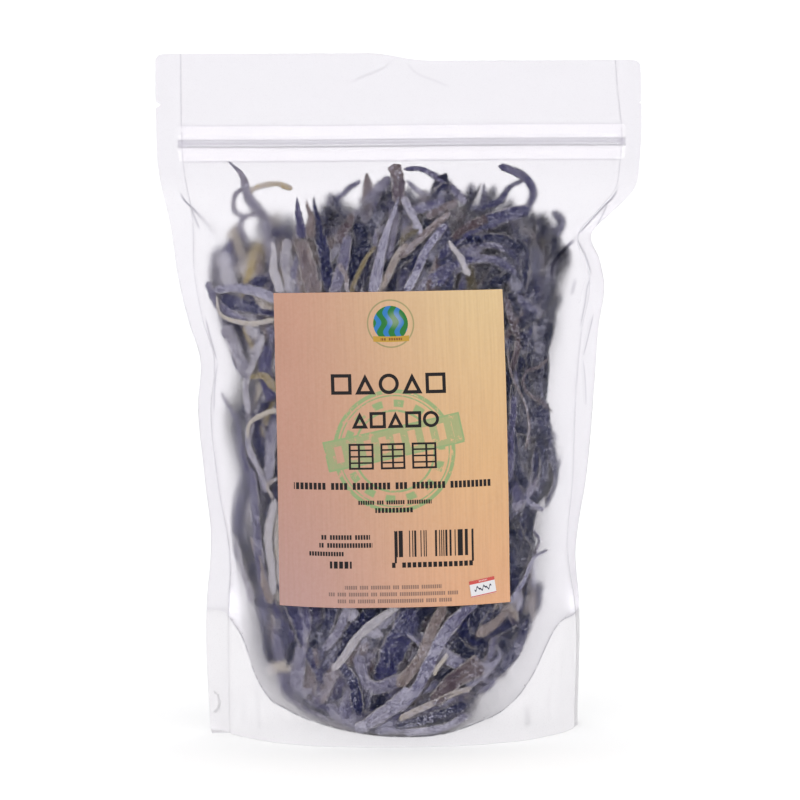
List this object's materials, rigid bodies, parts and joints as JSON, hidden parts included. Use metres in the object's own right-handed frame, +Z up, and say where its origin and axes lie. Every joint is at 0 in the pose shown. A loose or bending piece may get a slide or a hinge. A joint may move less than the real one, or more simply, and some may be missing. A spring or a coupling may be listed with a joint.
{
  "type": "stand-up pouch of dried kelp strips",
  "caption": "Clear frosted stand-up zip pouch with a folded base, full of cut strips of dried kelp, with a paper label on its front.",
  "frame": {"origin": "middle of the base, on the ground that the pouch stands on", "axes": "+Z up to the mouth, front with the label looks along -Y, +X to the right of the front"},
  "size_m": [0.1811, 0.0854, 0.2531],
  "materials": {
    "film": "clear film with a soft frosted matte side, milky where it stands off the contents",
    "zip_strip": "clear polyethylene press-to-close strip, pale grey where thick",
    "label_paper": "smooth coated paper printed with a tan wood tone",
    "badge_paper": "small white sticker with a red band",
    "kelp": "dried kelp strips inside the film: dull navy to purple-brown with a grey-white powdery bloom and paler cut edges"
  },
  "bodies": {
    "root": {"pouch": "film", "zip": "zip_strip", "label": "label_paper", "badge": "badge_paper"}
  },
  "joints": []
}
